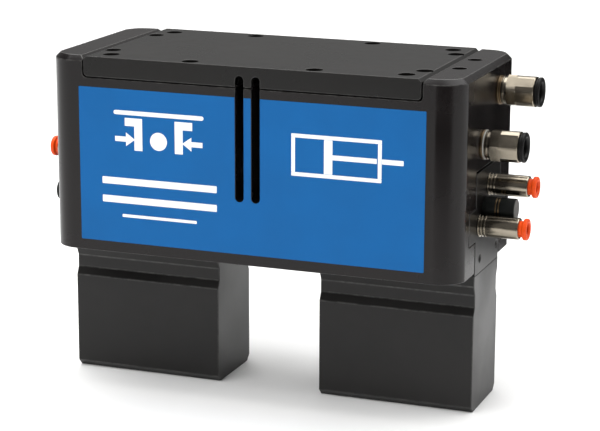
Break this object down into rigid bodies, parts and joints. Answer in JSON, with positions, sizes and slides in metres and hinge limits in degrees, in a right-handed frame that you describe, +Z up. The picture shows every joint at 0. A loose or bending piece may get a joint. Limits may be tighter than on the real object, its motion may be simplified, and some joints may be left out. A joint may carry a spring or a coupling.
{
  "type": "pneumatic two-jaw parallel gripper",
  "caption": "Wide parallel gripper with T-slot slides, tall jaw blocks, rack and pinion synchronised pistons and push-in air fittings.",
  "frame": {"origin": "centre of the mounting face on the top plate", "axes": "+X along the jaw travel, towards the end with the air ports; +Y from the labelled front face to the back; +Z up, out of the mounting face, away from the jaws"},
  "size_m": [0.1962, 0.0722, 0.1269],
  "materials": {
    "housing_anodised": "hard anodised dark grey, fine milled, satin",
    "plate_anodised": "hard anodised dark grey, smooth satin",
    "slide_anodised": "hard anodised grey, ground running faces",
    "jaw_anodised": "hard anodised grey, fine bead-blasted",
    "label_film": "blue printed film, semi-gloss",
    "nickel_plated": "nickel-plated brass, bright turned",
    "fastener_steel": "steel, lightly oiled",
    "drive_steel": "hardened and ground steel",
    "bush_bronze": "sintered bronze",
    "piston_alloy": "machined",
    "seal_rubber": "nitrile rubber",
    "black_collar": "black acetal, moulded",
    "orange_collar": "orange acetal, moulded",
    "silencer_black": "dark grey plastic cap on a brass insert"
  },
  "bodies": {
    "gripper_body": {"housing": "housing_anodised", "top_plate": "plate_anodised", "plate_screw_1": "fastener_steel", "plate_screw_2": "fastener_steel", "plate_screw_3": "fastener_steel", "plate_screw_4": "fastener_steel", "plate_screw_5": "fastener_steel", "plate_screw_6": "fastener_steel", "plate_screw_7": "fastener_steel", "plate_screw_8": "fastener_steel", "front_label": "label_film", "post_set_screw": "fastener_steel", "cylinder_plug_front": "plate_anodised", "cylinder_plug_back": "plate_anodised", "pinion_bush_lower": "bush_bronze", "pinion_bush_upper": "bush_bronze", "port_fitting_1": "nickel_plated", "port_fitting_2": "nickel_plated"},
    "right_jaw": {"slide_right": "slide_anodised", "jaw_right": "jaw_anodised", "jaw_screw_right_1": "fastener_steel", "jaw_screw_right_2": "fastener_steel", "rack_rod_right": "drive_steel", "piston_right_inner": "piston_alloy", "piston_right_outer": "piston_alloy", "piston_seal_right_inner": "seal_rubber", "piston_seal_right_outer": "seal_rubber", "drive_pin_right": "drive_steel", "small_fitting_1": "nickel_plated", "small_fitting_2": "nickel_plated", "silencer_right": "silencer_black"},
    "left_jaw": {"slide_left": "slide_anodised", "jaw_left": "jaw_anodised", "jaw_screw_left_1": "fastener_steel", "jaw_screw_left_2": "fastener_steel", "rack_rod_left": "drive_steel", "piston_left_inner": "piston_alloy", "piston_left_outer": "piston_alloy", "piston_seal_left_inner": "seal_rubber", "piston_seal_left_outer": "seal_rubber", "drive_pin_left": "drive_steel", "small_fitting_3": "nickel_plated", "silencer_left": "silencer_black"},
    "pinion_set": {"pinion": "drive_steel", "pinion_shaft": "drive_steel"},
    "port_collar_1": {"port_fitting_1_collar": "black_collar"},
    "port_collar_2": {"port_fitting_2_collar": "black_collar"},
    "small_collar_1": {"small_fitting_1_collar": "orange_collar"},
    "small_collar_2": {"small_fitting_2_collar": "orange_collar"},
    "small_collar_3": {"small_fitting_3_collar": "orange_collar"}
  },
  "joints": [
    {"name": "right_jaw_travel", "type": "slide", "parent": "gripper_body", "child": "right_jaw", "axis": [-1, 0, 0], "range_m": [0, 0.018]},
    {"name": "left_jaw_travel", "type": "slide", "parent": "gripper_body", "child": "left_jaw", "axis": [1, 0, 0], "range_m": [0, 0.018]},
    {"name": "pinion_turn", "type": "hinge", "parent": "gripper_body", "child": "pinion_set", "pos_m": [0, 0, -0.0224], "axis": [0, 0, -1], "range_deg": [0, 162]},
    {"name": "port_collar_1_push", "type": "slide", "parent": "gripper_body", "child": "port_collar_1", "axis": [-1, 0, 0], "range_m": [0, 0.0006], "stiffness_N_per_m": 400},
    {"name": "port_collar_2_push", "type": "slide", "parent": "gripper_body", "child": "port_collar_2", "axis": [-1, 0, 0], "range_m": [0, 0.0006], "stiffness_N_per_m": 400},
    {"name": "small_collar_1_push", "type": "slide", "parent": "right_jaw", "child": "small_collar_1", "axis": [-1, 0, 0], "range_m": [0, 0.001], "stiffness_N_per_m": 400},
    {"name": "small_collar_2_push", "type": "slide", "parent": "right_jaw", "child": "small_collar_2", "axis": [-1, 0, 0], "range_m": [0, 0.001], "stiffness_N_per_m": 400},
    {"name": "small_collar_3_push", "type": "slide", "parent": "left_jaw", "child": "small_collar_3", "axis": [1, 0, 0], "range_m": [0, 0.001], "stiffness_N_per_m": 400}
  ],
  "couplings": [
    {"joint": "left_jaw_travel", "follows": "right_jaw_travel", "ratio": 1},
    {"joint": "pinion_turn", "follows": "right_jaw_travel", "rad_per_m": 156.25}
  ]
}
